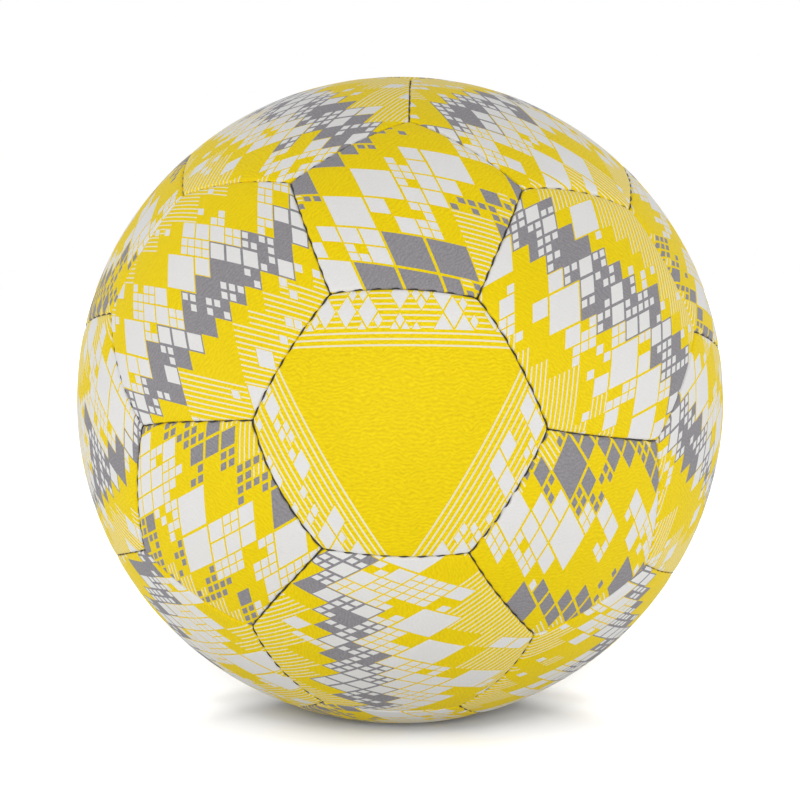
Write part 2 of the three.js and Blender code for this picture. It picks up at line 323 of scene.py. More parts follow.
def make_seams():
    """The seams by the two panels' names, in either order."""
    seams = {}
    for panel in PANELS:
        for side in range(panel.sides):
            halfway = unit(panel.corners[side] + panel.corners[(side + 1) % panel.sides])
            others = [other for other in PANELS if other is not panel]
            neighbour = max(others, key=lambda other: other.middle @ halfway)
            found = seams.get((neighbour.name, panel.name)) or Seam(panel, side, neighbour)
            seams[panel.name, neighbour.name] = found
            panel.seams.append(found)
    return seams


SEAMS = make_seams()


def wander(points):
    """Points moved along the ball's surface, so that seams bow and aren't quite even."""
    radii = np.linalg.norm(points, axis=-1, keepdims=True)
    places = points / radii * BALL_RADIUS
    shift = np.stack([
        waves(places, 75 * MM, seed) * 0.7 + waves(places, 24 * MM, seed + 10) * 0.3 for seed in (1, 2, 3)
    ], axis=-1) * SEAM_WANDER
    for seam in dict.fromkeys(SEAMS.values()):
        shift += seam.warp(places)
    moved = points + shift
    return moved * (radii / np.linalg.norm(moved, axis=-1, keepdims=True))


def side_turn(panel, side, points, angle):
    """Points turned about the normal of one of the panel's walls."""
    wall = panel.walls[side]
    along = np.cross(wall, points)
    level = wall * (points @ wall)[..., None]
    angle = np.asarray(angle)[..., None]
    return level + (points - level) * np.cos(angle) + along * np.sin(angle)


def seam_ring(panel, inset, radius, steps):
    """A closed ring at one distance from all seam planes and one radius, with its side numbers."""
    feet = panel.mitres * inset
    corners = feet + panel.corners * np.sqrt(radius ** 2 - np.sum(feet ** 2, axis=1, keepdims=True))
    rings = []
    for side in range(panel.sides):
        pivot = panel.walls[side] * inset
        start = corners[side] - pivot
        end = corners[(side + 1) % panel.sides] - pivot
        angle = math.acos(np.clip(unit(start) @ unit(end), -1, 1))
        shares = np.arange(steps) / steps
        rings.append(side_turn(panel, side, np.repeat(start[None], steps, axis=0), angle * shares) + pivot)
    return np.concatenate(rings)


def pit_strength(panel, side, steps):
    """How strongly each point along one side feels the nearest stitch, from 0 to about 1."""
    centres = (np.arange(STITCHES_PER_SEAM) + 0.5) / STITCHES_PER_SEAM * panel.side_angle
    corner = panel.corners[side] * BALL_RADIUS
    places = side_turn(panel, side, np.repeat(corner[None], len(centres), axis=0), centres)
    strengths = 1 + 0.25 * waves(places, 9 * MM, PIT_SEED)
    angles = np.arange(steps) / steps * panel.side_angle
    distances = (angles[:, None] - centres) * BALL_RADIUS
    return (np.exp(-(distances / PIT_LENGTH) ** 2) * strengths).sum(axis=1)


def shoulder_drop(inset):
    """How far the panel's surface lies below the ball's at one distance from the seam plane."""
    drop = ROLL_OFF_DROP * max(0.0, 1 - inset / ROLL_OFF_WIDTH) ** 2
    into_shoulder = min(SEAM_GAP + SHOULDER_RADIUS - inset, SHOULDER_RADIUS)
    if into_shoulder > 0:
        drop += SHOULDER_RADIUS - math.sqrt(SHOULDER_RADIUS ** 2 - into_shoulder ** 2)
    return drop


def rim_section():
    """Insets and depths across the panel's rim, from its middle to the bottom of the shoulder."""
    section = []
    for ring in range(RIM_RINGS):
        share = 1 - ring / (RIM_RINGS - 1)
        inset = SEAM_GAP + RIM_WIDTH * share ** RIM_CROWDING
        section.append((inset, shoulder_drop(inset)))
    return section


class RimShape:
    """Moves the points of one panel's rings for its stitches, gaps, valleys and rounded corners."""

    def __init__(self, panel, steps):
        self.panel = panel
        self.pitted = np.repeat([seam.pitted == panel.name for seam in panel.seams], steps)
        self.opening = np.repeat([seam.opening for seam in panel.seams], steps)
        self.stitch = np.concatenate([pit_strength(panel, side, steps) for side in range(panel.sides)])
        self.stitch *= np.repeat([seam.stitching * (1 - 0.4 * seam.opening) for seam in panel.seams], steps)
        self.inwards = np.repeat(panel.walls, steps, axis=0)
        along = np.tile(np.arange(steps) / steps, panel.sides)
        self.valley = np.repeat([seam.valley for seam in panel.seams], steps) * np.sin(math.pi * along)
        reach = np.minimum(along, 1 - along) * panel.side_angle * BALL_RADIUS
        nearest = (np.repeat(np.arange(panel.sides), steps) + (along > 0.5)) % panel.sides
        self.to_middle = unit(panel.mitres[nearest])
        half_angle = math.pi * (panel.sides - 2) / panel.sides / 2
        tangent_reach = CORNER_ROUNDING / math.tan(half_angle)
        cut = CORNER_ROUNDING * (1 / math.sin(half_angle) - 1)
        self.corner_cut = cut * np.clip(1 - reach / tangent_reach, 0, 1) ** 2
        self.corner_gap = np.exp(-(reach / CORNER_GAP_REACH) ** 2)

    def move(self, points, inset, depth):
        near = math.exp(-(inset / PIT_WIDTH) ** 2 - (max(depth - PIT_DEPTH, 0) / PIT_FADE) ** 2)
        pucker = max(0.0, 1 - inset / PUCKER_REACH) ** 2
        outwards = unit(points)
        sideways = np.where(self.pitted, PIT_OPENING, -BULGE) * self.stitch * near
        uneven = 0.65 + 0.35 * waves(points, 14 * MM, GAP_SEED)
        gap = (OPEN_GAP * self.opening * uneven + CORNER_GAP * self.corner_gap) * near
        drop = np.where(self.pitted, PIT_DROP, -0.2 * PIT_DROP) * self.stitch * near
        drop += PUCKER_DROP * pucker * self.stitch
        drop += self.valley * max(0.0, 1 - inset / VALLEY_WIDTH) ** 2
        moved = points + self.inwards * (sideways + gap)[:, None] - outwards * drop[:, None]
        rounding = math.exp(-(inset / ROUNDING_REACH) ** 2)
        return moved + self.to_middle * (self.corner_cut * rounding)[:, None]


# Mesh building

def add_object(name, data):
    made = bpy.data.objects.new(name, data)
    bpy.context.scene.collection.objects.link(made)
    return made


class MeshMaker:
    def __init__(self):
        self.points = []
        self.faces = []
        self.slots = []
        self.slot = 0
        self.count = 0

    def ring(self, points):
        self.points.append(points)
        self.count += len(points)
        return np.arange(self.count - len(points), self.count)

    def add_faces(self, faces):
        self.faces.extend(faces.tolist())
        self.slots.extend([self.slot] * len(faces))

    def band(self, ring, following):
        """Joins two closed rings with as many points each."""
        after, following_after = np.roll(ring, -1), np.roll(following, -1)
        self.add_faces(np.stack([ring, following, following_after, after], axis=1))

    def widen(self, ring, following):
        """Joins a closed ring to the next one outwards, which has twice as many points."""
        after = np.roll(ring, -1)
        first, middle, last = following[0::2], following[1::2], np.roll(following[0::2], -1)
        self.add_faces(np.stack([ring, first, middle], axis=1))
        self.add_faces(np.stack([ring, middle, after], axis=1))
        self.add_faces(np.stack([after, middle, last], axis=1))

    def narrow(self, ring, following):
        """Joins a closed ring to the next one inwards on the underside, with half as many points."""
        before = len(self.faces)
        self.widen(following, ring)
        self.faces[before:] = [face[::-1] for face in self.faces[before:]]

    def fill(self, ring, panel, steps, place, underside=False):
        """Fills a ring with smaller rings round the panel's middle, down to one point."""
        corners = self.all_points()[ring[::steps]]
        outer = ring
        for size in range(steps - 1, -1, -1):
            inner = self.ring(place(inner_ring(panel, corners, size, steps)))
            self.join_shrinking(outer, inner, panel.sides, size, underside)
            outer = inner

    def join_shrinking(self, outer, inner, sides, size, underside):
        side, step = np.meshgrid(np.arange(sides), np.arange(size + 1), indexing="ij")
        here = outer[side * (size + 1) + step]
        following = outer[(side * (size + 1) + step + 1) % len(outer)]
        within = inner[(side * size + step) % len(inner)]
        faces = [np.stack([within, here, following], axis=-1).reshape(-1, 3)]
        if size:
            within_next = inner[(side * size + step + 1) % len(inner)]
            faces.append(np.stack([within, following, within_next], axis=-1)[:, :size].reshape(-1, 3))
        for part in faces:
            self.add_faces(part[:, ::-1] if underside else part)

    def all_points(self):
        return np.concatenate(self.points)

    def warp(self, move):
        self.points = [move(self.all_points())]

    def build(self, name, materials, smooth_angle=math.radians(50)):
        mesh = bpy.data.meshes.new(name)
        mesh.from_pydata(self.all_points(), [], self.faces)
        for material in materials:
            mesh.materials.append(material)
        mesh.polygons.foreach_set("material_index", self.slots)
        mesh.polygons.foreach_set("use_smooth", [True] * len(self.faces))
        mesh.set_sharp_from_angle(angle=smooth_angle)
        mesh.update()
        return add_object(name, mesh)


def inner_ring(panel, corners, size, steps):
    """A smaller ring of a panel, on flat triangles between its corners and its middle."""
    middle = panel.middle * np.linalg.norm(corners[0])
    if size == 0:
        return middle[None]
    shares = (np.arange(size) / size)[None, :, None]
    edge = corners[:, None] * (1 - shares) + np.roll(corners, -1, axis=0)[:, None] * shares
    ring = middle + (edge - middle) * (size / steps)
    return ring.reshape(-1, 3)


# Shader building

class Shader:
    """A material's node tree, with short ways to add the nodes that the surfaces here need."""

    def __init__(self, name):
        self.material = bpy.data.materials.new(name)
        self.material.use_nodes = True
        self.tree = self.material.node_tree
        self.surface = self.tree.nodes["Principled BSDF"]

    def node(self, kind, inputs=(), **settings):
        """A new node, with values or links for its first inputs, or for those that a dict names."""
        made = self.tree.nodes.new(kind)
        for key, value in settings.items():
            setattr(made, key, value)
        for key, value in inputs.items() if isinstance(inputs, dict) else enumerate(inputs):
            self.feed(made.inputs[key], value)
        return made

    def feed(self, socket, value):
        if isinstance(value, bpy.types.NodeSocket):
            self.tree.links.new(value, socket)
        elif value is not None:
            socket.default_value = value

    def math(self, operation, *values):
        return self.node("ShaderNodeMath", values, operation=operation).outputs[0]

    def add(self, a, b):
        return self.math("ADD", a, b)

    def minus(self, a, b):
        return self.math("SUBTRACT", a, b)

    def opposite(self, share):
        return self.minus(1.0, share)

    def times(self, a, b):
        return self.math("MULTIPLY", a, b)

    def above(self, value, limit):
        return self.math("GREATER_THAN", value, limit)

    def below(self, value, limit):
        return self.math("LESS_THAN", value, limit)

    def between(self, value, low, high):
        return self.times(self.above(value, low), self.below(value, high))

    def centred(self, value, amount):
        """A value from 0 to 1 spread evenly round 0, over an amount in all."""
        return self.times(self.minus(value, 0.5), amount)

    def combine(self, x, y, z=0.0):
        return self.node("ShaderNodeCombineXYZ", (x, y, z)).outputs[0]

    def separate(self, vector):
        return self.node("ShaderNodeSeparateXYZ", (vector,)).outputs

    def choose(self, share, a, b):
        """Colour a where share is 0 and b where it is 1."""
        return self.node("ShaderNodeMix", {0: share, 6: a, 7: b}, data_type="RGBA").outputs[2]

    def pick(self, share, a, b):
        """Number a where share is 0 and b where it is 1."""
        return self.node("ShaderNodeMix", {0: share, 2: a, 3: b}, data_type="FLOAT").outputs[0]

    def attribute(self, name):
        return self.node("ShaderNodeAttribute", attribute_name=name).outputs["Vector"]

    def place(self):
        return self.node("ShaderNodeTexCoord").outputs["Object"]

    def noise(self, vector, scale, detail=2.0, roughness=0.5):
        inputs = {"Vector": vector, "Scale": scale, "Detail": detail, "Roughness": roughness}
        return self.node("ShaderNodeTexNoise", inputs).outputs["Fac"]

    def random(self, x, y, z=0.0):
        inputs = {"Vector": self.combine(x, y, z)}
        return self.node("ShaderNodeTexWhiteNoise", inputs, noise_dimensions="3D").outputs["Value"]

    def bump(self, height, distance, strength):
        inputs = {"Height": height, "Distance": distance, "Strength": strength}
        return self.node("ShaderNodeBump", inputs).outputs[0]

    def finish(self, **sockets):
        for name, value in sockets.items():
            self.feed(self.surface.inputs[name.replace("_", " ")], value)
        return self.material


def srgb(red, green, blue):
    """A colour given as the photograph shows it, from 0 to 255."""
    def linear(level):
        share = level / 255
        return share / 12.92 if share <= 0.04045 else ((share + 0.055) / 1.055) ** 2.4
    return linear(red), linear(green), linear(blue), 1.0


YELLOW = srgb(252, 225, 7)
# Painted shade: a darker yellow for the grain's valleys, between its ridges
YELLOW_PAINTED_SHADE = srgb(235, 202, 2)  # between the ridges of the grain
STRIPE_WHITE = srgb(241, 234, 204)  # thin lines let the yellow through
WHITE = srgb(234, 233, 231)
GREY = srgb(147, 144, 148)

# Print, in millimetres on the panel
PRINT_TURN = math.radians(137.5)  # from each panel's print to the next one's
LOZENGE_WIDTH = 13.5
LOZENGE_HEIGHT = 24.0
LOZENGE_STEP = LOZENGE_WIDTH * LOZENGE_HEIGHT / math.hypot(LOZENGE_WIDTH, LOZENGE_HEIGHT)
LARGE_SHARE = 0.30  # of the large lozenges are whole, and the others split into four
MIDDLE_SHARE = 0.55
LARGE_LINE_WIDTH = 0.9
LINE_WIDTH = 0.6
SMALL_LINE_WIDTH = 0.45
GREY_LINE_WIDTH = 0.9  # round grey lozenges, and between those on a grey sash
SASH = (-18.5, -1.5)  # zones by their level on the panel
HEXAGON_WHITE = (-1.5, 17.0)
PENTAGON_WHITE = (-9.0, 13.0)
PENTAGON_NO_GREY = (-17.0, 13.0)
NO_LARGE = (-23.0, 3.0)
NO_STRIPES = (-27.0, 27.0)
# Shares of the lozenges that are shown in the white clusters, sashes and grey borders, and elsewhere
WHITE_SHARE, SASH_SHARE, GREY_SHARE, STRAY_SHARE = 0.86, 0.70, 0.70, 0.15
CLUMPING = 0.9  # how much those shares change from place to place
ZONE_DRIFT, ZONE_SHIFT = 34.0, 10.0  # along a zone's border, and from panel to panel
STRIPE_PITCH = LOZENGE_STEP / 7
STRIPE_WIDTH = 0.5
FRONT_STRIPE_PITCH = LOZENGE_STEP / 6
FRONT_STRIPE_WIDTH = 0.6
FRONT_BAND_START = 24.5
FRONT_LOZENGES_START = 30.0
FRONT_SEED = 7.0
FRONT_SHARE = 0.34
GRAIN_PITCH = 1.3
GRAIN_DEPTH = 0.08 * MM
WEAVE_PITCH = 0.9


class Lozenges:
    """One scale of the lozenge tiling: how far each point lies inside its tile, and the tile's own number.

    In this class and the functions below, s is the Shader whose nodes are made.
    """

    def __init__(self, s, x, y, seed, scale):
        width, height = LOZENGE_WIDTH * scale, LOZENGE_HEIGHT * scale
        across, along = s.times(x, 1 / width), s.times(y, 1 / height)
        u, v = s.add(across, along), s.minus(across, along)
        column, row = s.math("FLOOR", u), s.math("FLOOR", v)
        to_edge = s.math("MINIMUM", self.edge_distance(s, u), self.edge_distance(s, v))
        self.depth = s.times(to_edge, LOZENGE_STEP * scale)
        self.stripe_place = s.times(s.math("FRACT", u), LOZENGE_STEP * scale)
        self.number = s.random(column, row, s.add(seed, 10 * scale))
        middle_u, middle_v = s.add(column, 0.5), s.add(row, 0.5)
        self.middle_x = s.times(s.add(middle_u, middle_v), width / 2)
        self.middle_y = s.times(s.minus(middle_u, middle_v), height / 2)

    @staticmethod
    def edge_distance(s, value):
        within = s.math("FRACT", value)
        return s.math("MINIMUM", within, s.opposite(within))


def stripes(s, distance, pitch, width):
    return s.below(s.math("MODULO", distance, pitch), width)


def zone_level(s, x, y, seed):
    """How far up a place lies on the panel's print, in millimetres, with a drifting border."""
    drift = s.centred(s.noise(s.combine(x, y, s.times(seed, 40.0)), 0.05, 1.0), ZONE_DRIFT)
    shift = s.centred(s.random(seed, 3.5), ZONE_SHIFT)
    return s.add(s.add(y, drift), shift)


def print_colour(s, x, y, seed, yellow):
    """The printed panels' colour, and 1 where it is grey: lozenges in three sizes, and stripes beside them.

    A hexagon has a grey sash with white lozenges next to a white cluster, and a pentagon has grey
    lozenges on both sides of a white cluster.
    """
    large = Lozenges(s, x, y, seed, 1.0)
    middle = Lozenges(s, x, y, seed, 0.5)
    small = Lozenges(s, x, y, seed, 0.25)
    pentagon = s.above(seed, len(HEXAGONS) - 0.5)
    hexagon = s.opposite(pentagon)

    # Which size of lozenge, and where it lies across the zones
    large_level = zone_level(s, large.middle_x, large.middle_y, seed)
    large_allowed = s.opposite(s.times(hexagon, s.between(large_level, *NO_LARGE)))
    large_here = s.times(s.below(large.number, LARGE_SHARE), large_allowed)
    middle_here = s.below(middle.number, MIDDLE_SHARE)
    level = s.pick(large_here, zone_level(s, middle.middle_x, middle.middle_y, seed), large_level)
    depth = s.pick(large_here, s.pick(middle_here, small.depth, middle.depth), large.depth)
    number = s.pick(large_here, s.pick(middle_here, small.number, s.times(middle.number, 1 / MIDDLE_SHARE)),
                    s.times(large.number, 1 / LARGE_SHARE))

    sash = s.times(hexagon, s.between(level, *SASH))
    grey_lozenges = s.times(pentagon, s.opposite(s.between(level, *PENTAGON_NO_GREY)))
    white = s.add(s.times(hexagon, s.between(level, *HEXAGON_WHITE)),
                  s.times(pentagon, s.between(level, *PENTAGON_WHITE)))
    outer = s.opposite(s.between(level, *NO_STRIPES))

    clump = s.noise(s.combine(large.middle_x, large.middle_y, s.add(s.times(seed, 40.0), 500.0)), 0.09, 1.0)
    share = s.pick(sash, s.pick(grey_lozenges, STRAY_SHARE, GREY_SHARE), SASH_SHARE)
    share = s.add(s.pick(white, share, WHITE_SHARE), s.centred(clump, CLUMPING))
    line = s.pick(large_here, s.pick(middle_here, SMALL_LINE_WIDTH / 2, LINE_WIDTH / 2), LARGE_LINE_WIDTH / 2)
    line = s.pick(s.add(sash, grey_lozenges), line, GREY_LINE_WIDTH / 2)
    tiled = s.below(number, share)
    shown = s.times(s.above(depth, line), tiled)
    striped = s.times(stripes(s, large.stripe_place, STRIPE_PITCH, STRIPE_WIDTH),
                      s.times(outer, s.opposite(tiled)))

    ground = s.choose(sash, s.choose(striped, yellow, STRIPE_WHITE), GREY)
    colour = s.choose(shown, ground, s.choose(grey_lozenges, WHITE, GREY))
    return colour, s.pick(shown, sash, grey_lozenges)


def front_colour(s, x, y, yellow):
    """The front panel: plain, with a band of stripes and small lozenges along three of its six sides."""
    middle = Lozenges(s, x, y, FRONT_SEED, 0.5)
    small = Lozenges(s, x, y, FRONT_SEED, 0.25)
    split = s.above(middle.number, 0.5)
    depth = s.pick(split, middle.depth, small.depth)
    number = s.pick(split, middle.number, small.number)

    distances = []
    for third in range(3):
        turn = 2 * math.pi * third / 3 + math.pi / 2
        distances.append(s.add(s.times(x, math.cos(turn)), s.times(y, math.sin(turn))))
    distance = s.math("MAXIMUM", s.math("MAXIMUM", distances[0], distances[1]), distances[2])
    beyond = s.minus(distance, FRONT_BAND_START)
    striped = s.times(stripes(s, beyond, FRONT_STRIPE_PITCH, FRONT_STRIPE_WIDTH), s.above(beyond, 0.0))
    tiled = s.times(s.above(distance, FRONT_LOZENGES_START), s.below(number, FRONT_SHARE))
    ground = s.choose(striped, yellow, STRIPE_WHITE)
    return s.choose(tiled, ground, s.choose(s.above(depth, LINE_WIDTH / 2), yellow, WHITE))


def printed_leather():
    """Synthetic leather with a fine pebble grain, printed in three colours."""
    s = Shader("printed_leather")
    x, y, number = s.separate(s.attribute("print_place"))
    seed = s.math("ROUND", number)
    front = s.below(seed, 0.5)

    # Grain: low wavy ridges across the panel, broken into short lengths, with finer creases
    drift = s.centred(s.noise(s.combine(x, s.times(y, 0.8), 3.0), 0.15, 1.0), 5.0)
    sway = s.centred(s.noise(s.combine(x, s.times(y, 0.7), 6.0), 0.55, 1.0), 2.2)
    rows = s.math("SINE", s.times(s.add(s.add(y, drift), sway), 2 * math.pi / GRAIN_PITCH))
    strength = s.noise(s.combine(s.times(x, 0.8), y, 5.0), 0.7, 1.0)
    broken = s.noise(s.combine(s.times(x, 0.6), s.times(y, 1.1), 9.0), 1.1, 1.0)
    ridges = s.add(s.times(s.times(rows, strength), 0.34), broken)
    creases = s.noise(s.combine(x, s.times(y, 1.5), 9.0), 2.6, 2.0)
    height = s.add(s.times(ridges, 0.75), s.times(creases, 0.25))

    # Painted shade in the grain's valleys: the yellow darkens between the ridges, more on the front panel
    # than elsewhere, and this yellow carries that painted shade into the print
    plain = s.pick(front, 0.75, 1.25)  # the front panel shows the grain most
    yellow = s.choose(s.add(0.5, s.times(s.centred(ridges, 1.0), plain)), YELLOW_PAINTED_SHADE, YELLOW)
    printed, grey = print_colour(s, x, y, seed, yellow)
    colour = s.choose(front, printed, front_colour(s, x, y, yellow))
    grey = s.times(grey, s.opposite(front))

    # Speckle, strongest on grey, painted light and shade on the grain's ridges, and slow variation of the
    # print
    speckle = s.noise(s.combine(x, y, 17.0), 1.7, 2.0, 0.7)
    worn = s.noise(s.place(), 28.0, 3.0)
    shade = s.times(s.centred(speckle, 1.0), s.pick(grey, 0.10, 0.65))
    # Painted light and shade: the colour lightens on the grain's ridges and darkens between them, most on
    # grey
    shade = s.add(shade, s.times(s.centred(ridges, 1.0), s.pick(grey, 0.04, 0.30)))
    shade = s.add(shade, s.centred(worn, 0.08))
    shaded = s.node("ShaderNodeVectorMath", {0: colour, "Scale": s.add(shade, 1.0)}, operation="SCALE")

    return s.finish(
        Base_Color=shaded.outputs[0],
        Roughness=s.add(0.54, s.centred(creases, 0.2)),
        Normal=s.bump(height, GRAIN_DEPTH, 0.5),
        Specular_IOR_Level=0.14,
    )


def backing_cloth():
    """Woven cloth bonded to the back of each panel and showing on its turned-in edge."""
    s = Shader("backing_cloth")
    x, y, _ = s.separate(s.attribute("print_place"))
    warp = s.math("SINE", s.times(x, 2 * math.pi / WEAVE_PITCH))
    weft = s.math("SINE", s.times(y, 2 * math.pi / WEAVE_PITCH))
    weave = s.times(warp, weft)
    tone = s.add(0.5, s.times(weave, 0.5))
    return s.finish(
        Base_Color=s.choose(tone, srgb(188, 182, 168), srgb(226, 220, 206)),
        Roughness=0.9,
        Normal=s.bump(weave, 0.12 * MM, 0.7),
    )


def waxed_thread():
    """Dark twisted polyester, waxed."""
    s = Shader("waxed_thread")
    fibre = s.noise(s.place(), 5200.0, 2.0)
    return s.finish(
        Base_Color=s.choose(fibre, srgb(18, 15, 15), srgb(48, 41, 39)),
        Roughness=s.add(0.5, s.times(fibre, 0.3)),
        Normal=s.bump(fibre, 0.03 * MM, 0.6),
        Sheen_Weight=0.15,
    )


def rubber(name, dark, light, roughness):
    """Moulded rubber with a faint mould texture and a bloom of lighter dust."""
    s = Shader(name)
    bloom = s.noise(s.place(), 90.0, 4.0)
    texture = s.noise(s.place(), 1800.0, 2.0)
    return s.finish(
        Base_Color=s.choose(bloom, dark, light),
        Roughness=s.add(roughness, s.centred(bloom, 0.2)),
        Normal=s.bump(texture, 0.04 * MM, 0.5),
    )


LEATHER = printed_leather()
CLOTH = backing_cloth()
THREAD = waxed_thread()
BLADDER_RUBBER = rubber("bladder_rubber", srgb(26, 26, 28), srgb(46, 46, 50), 0.62)
VALVE_RUBBER = rubber("valve_rubber", srgb(18, 18, 20), srgb(34, 34, 37), 0.45)
CORE_RUBBER = rubber("core_rubber", srgb(40, 38, 38), srgb(60, 57, 56), 0.6)
PATCH_RUBBER = rubber("patch_rubber", srgb(52, 48, 45), srgb(74, 68, 64), 0.8)


# Cover panels

def back_depth():
    """How far a panel's back lies below the ball's surface, at the panel's middle."""
    points = node_points(HEXAGONS[0])
    radii = np.linalg.norm(points, axis=1)
    level = points @ unit(points.mean(axis=0)) / radii
    return BALL_RADIUS - radii[level > 0.9999].min()


PANEL_THICKNESS = back_depth()
LEATHER_SLOT, CLOTH_SLOT = 0, 1


def surface_wave(points):
    return waves(points, 20 * MM, SURFACE_SEED)[..., None] * SURFACE_WAVE


def on_sphere(radius):
    def place(points):
        return unit(points) * radius
    return place


def on_surface(points):
    """Points on the outside of a panel, a little uneven as a stretched skin is."""
    outwards = unit(points)
    return outwards * (BALL_RADIUS + surface_wave(outwards * BALL_RADIUS))


def print_places(panel, points, index):
    """Each point's place on the panel's own print, in millimetres, and the panel's number."""
    along = points @ panel.middle
    flat = np.stack([points @ panel.right, points @ panel.up], axis=1) / along[:, None] * (BALL_RADIUS / MM)
    turn = PRINT_TURN * index
    flat = flat @ np.array([[math.cos(turn), -math.sin(turn)], [math.sin(turn), math.cos(turn)]])
    return np.column_stack([flat, np.full(len(flat), float(index))])


def stem_hole_radius():
    return np.linalg.norm(np.cross(node_points(VALVE_HEXAGON), node_axis(VALVE_HEXAGON)), axis=1).min()


def add_stem_hole(maker, panel, front, back):
    """Joins the rings on a panel's two faces round the hole that the valve's stem comes out of."""
    points = maker.all_points()
    angles = np.arctan2(points[front] @ panel.up, points[front] @ panel.right)
    across = np.cos(angles)[:, None] * panel.right + np.sin(angles)[:, None] * panel.up
    hole = stem_hole_radius()

    def circle(radius, depth):
        return across * radius + panel.middle * math.sqrt((BALL_RADIUS - depth) ** 2 - radius ** 2)

    shares = np.arange(1, HOLE_RINGS) / HOLE_RINGS
    inner = circle(hole, PANEL_THICKNESS)
    outer = circle(hole + HOLE_ROUNDING, 0)
    on_back = on_sphere(BALL_RADIUS - PANEL_THICKNESS)
    backs = [on_back(points[back] * (1 - share) + inner * share) for share in shares]
    wall = [inner, circle(hole, LEATHER_DEPTH)]
    rim = [circle(hole + HOLE_ROUNDING * (1 - math.cos(angle)), HOLE_ROUNDING * (1 - math.sin(angle)))
           for angle in np.linspace(0, math.pi / 2, CORNER_POINTS)]
    fronts = [on_surface(outer * (1 - share) + points[front] * share) for share in shares]

    last = back
    for slot, circles in ((CLOTH_SLOT, backs + wall), (LEATHER_SLOT, rim + fronts)):
        maker.slot = slot
        for ring_points in circles:
            ring = maker.ring(ring_points)
            maker.band(last, ring)
            last = ring
    maker.band(last, front)


def cover_panel(panel, index):
    maker = MeshMaker()
    shape = RimShape(panel, SEAM_STEPS)
    section = rim_section()

    rings = []
    for inset, depth in section:
        ring = seam_ring(panel, inset, BALL_RADIUS - depth, SEAM_STEPS)
        ring += unit(ring) * surface_wave(unit(ring) * BALL_RADIUS)
        rings.append(maker.ring(shape.move(ring, inset, depth)))

    # From the rim inwards: half as many points, half again, and a lattice to the middle
    middle_inset = section[0][0] + HALVED_RING_STEP
    inner_inset = middle_inset + BODY_RING_STEP
    halved = maker.ring(on_surface(seam_ring(panel, middle_inset, BALL_RADIUS, SEAM_STEPS // 2)))
    body = maker.ring(on_surface(seam_ring(panel, inner_inset, BALL_RADIUS, BODY_STEPS)))
    if panel.name != VALVE_HEXAGON:
        maker.fill(body, panel, BODY_STEPS, on_surface)
    maker.widen(body, halved)
    maker.widen(halved, rings[0])
    for ring, following in zip(rings, rings[1:]):
        maker.band(ring, following)

    # The turned-in edge, down beside its neighbour's and up again along the panel's back
    maker.slot = CLOTH_SLOT
    last = rings[-1]
    for depth in WALL_RING_DEPTHS:
        ring = seam_ring(panel, SEAM_GAP, BALL_RADIUS - depth, SEAM_STEPS)
        following = maker.ring(shape.move(ring, SEAM_GAP, depth))
        maker.band(last, following)
        last = following
    back = SEAM_GAP + PANEL_THICKNESS
    half = maker.ring(seam_ring(panel, SEAM_GAP, BALL_RADIUS - FLANGE_DEPTH, SEAM_STEPS // 2))
    end = maker.ring(seam_ring(panel, back, BALL_RADIUS - FLANGE_DEPTH, BODY_STEPS))
    root = maker.ring(seam_ring(panel, back, BALL_RADIUS - PANEL_THICKNESS, BODY_STEPS))
    maker.narrow(last, half)
    maker.narrow(half, end)
    maker.band(end, root)
    if panel.name == VALVE_HEXAGON:
        add_stem_hole(maker, panel, body, root)
    else:
        maker.fill(root, panel, BODY_STEPS, on_sphere(BALL_RADIUS - PANEL_THICKNESS), underside=True)
    maker.warp(wander)

    piece = maker.build(panel.name + "_skin", [LEATHER, CLOTH])
    places = print_places(panel, maker.all_points(), index)
    attribute = piece.data.attributes.new("print_place", "FLOAT_VECTOR", "POINT")
    attribute.data.foreach_set("vector", places.ravel())
    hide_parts(panel.name)
    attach(piece, "root")


# Seam thread

def thread_path(seam, start, wall, angle, stitches, pit_side):
    """The middle of the thread along a seam or half of it: it shows at each stitch and dips between them."""
    turns = np.linspace(0, 2 * math.pi * stitches, stitches * THREAD_STEPS + 1)
    phase = turns - math.pi
    share = turns / (2 * math.pi * stitches)
    travel = share * angle + THREAD_STRETCH * np.sin(phase) / BALL_RADIUS
    top = 0.5 + 0.5 * np.cos(phase)
    dip = THREAD_DIP + (OPEN_THREAD_DIP - THREAD_DIP) * seam.opening
    valley = seam.valley * np.sin(math.pi * travel / seam.angle)
    depth = THREAD_TOP + THREAD_SUNK * (1 - seam.stitching) + dip * (1 - top) + valley
    sideways = THREAD_SWAY * np.sin(phase) + pit_side * THREAD_LEAN * top
    along = np.cross(wall, start)
    outwards = start * np.cos(travel)[:, None] + along * np.sin(travel)[:, None]
    return outwards * (BALL_RADIUS - depth)[:, None] + wall * sideways[:, None]


def twisted_tube(maker, path):
    """A closed tube along a path, with the plies of the thread winding round it."""
    tangents = unit(np.gradient(path, axis=0))
    outwards = unit(path)
    outwards = unit(outwards - tangents * np.sum(outwards * tangents, axis=1, keepdims=True))
    sideways = np.cross(tangents, outwards)
    lengths = np.concatenate([[0], np.cumsum(np.linalg.norm(np.diff(path, axis=0), axis=1))])
    angles = np.arange(THREAD_SIDES) / THREAD_SIDES * 2 * math.pi
    twist = lengths[:, None] * PLY_TWIST
    relief = 1 + PLY_RELIEF * np.cos(THREAD_PLIES * angles[None] - twist)
    radii = THREAD_RADIUS * relief
    sections = (path[:, None]
                + outwards[:, None] * (np.cos(angles) * radii)[..., None]
                + sideways[:, None] * (np.sin(angles) * radii)[..., None])
    rings = [maker.ring(section) for section in sections]
    for ring, following in zip(rings, rings[1:]):
        maker.band(ring, following)
    maker.faces.extend([rings[0].tolist(), rings[-1].tolist()[::-1]])
    maker.slots.extend([0, 0])


def seam_between(start, end):
    """The seam that runs between two corners."""
    halfway = unit(start + end)
    pair = sorted(PANELS, key=lambda panel: -(panel.middle @ halfway))[:2]
    return SEAMS[pair[0].name, pair[1].name]


